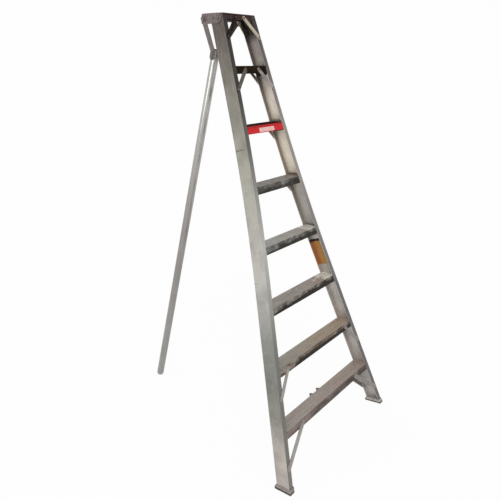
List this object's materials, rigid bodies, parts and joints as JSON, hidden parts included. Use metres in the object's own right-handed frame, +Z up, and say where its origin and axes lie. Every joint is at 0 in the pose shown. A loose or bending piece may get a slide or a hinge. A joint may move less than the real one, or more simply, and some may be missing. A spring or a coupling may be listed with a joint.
{
  "type": "tripod orchard ladder",
  "caption": "Tripod orchard ladder with flared channel rails, ribbed treads with corner braces, a top cap and a hinged pole that folds against the rails.",
  "frame": {"origin": "on the floor under the middle of the standing ladder's footprint", "axes": "+Z up, +Y from the treads towards the pole, +X to the right as seen from the front"},
  "size_m": [1.0948, 1.4435, 2.2919],
  "materials": {
    "rail_aluminium": "weathered mill finish",
    "tread_aluminium": "worn, ribbed",
    "dark_aluminium": "oxidised",
    "rivet_aluminium": "satin",
    "steel": "dull zinc",
    "rubber": "worn"
  },
  "bodies": {
    "ladder": {"left_rail": "rail_aluminium", "right_rail": "rail_aluminium", "step_1": "tread_aluminium", "step_2": "tread_aluminium", "step_3": "tread_aluminium", "step_4": "tread_aluminium", "step_5": "tread_aluminium", "step_6": "tread_aluminium", "step_7": "tread_aluminium", "top_cap": "dark_aluminium", "braces_1": "rail_aluminium", "braces_2": "rail_aluminium", "braces_5": "rail_aluminium", "braces_6": "rail_aluminium", "braces_7": "rail_aluminium", "cap_braces": "dark_aluminium", "web_rivets_left": "rivet_aluminium", "web_rivets_right": "rivet_aluminium", "brace_rivets_front": "rivet_aluminium", "brace_rivets_rear": "rivet_aluminium", "boot_left": "dark_aluminium", "boot_right": "dark_aluminium", "sole_left": "rubber", "sole_right": "rubber", "boot_rivets": "rivet_aluminium", "hinge_plate_left": "dark_aluminium", "hinge_plate_right": "dark_aluminium", "plate_bolts": "steel", "plate_nuts": "steel", "hinge_rod": "steel", "hinge_washers": "steel", "hinge_nuts": "steel", "pole_cradle": "rail_aluminium", "cradle_rivets": "rivet_aluminium"},
    "tripod_leg": {"tripod_pole": "rail_aluminium", "pole_plug": "rubber", "pole_tip": "rail_aluminium", "yoke_strap_left": "steel", "yoke_strap_right": "steel", "yoke_bolts": "steel", "yoke_nuts": "steel"}
  },
  "joints": [
    {"name": "pole_swing", "type": "hinge", "parent": "ladder", "child": "tripod_leg", "pos_m": [0, 0.0788, 2.2664], "axis": [1, 0, 0], "range_deg": [-32, 25]}
  ]
}
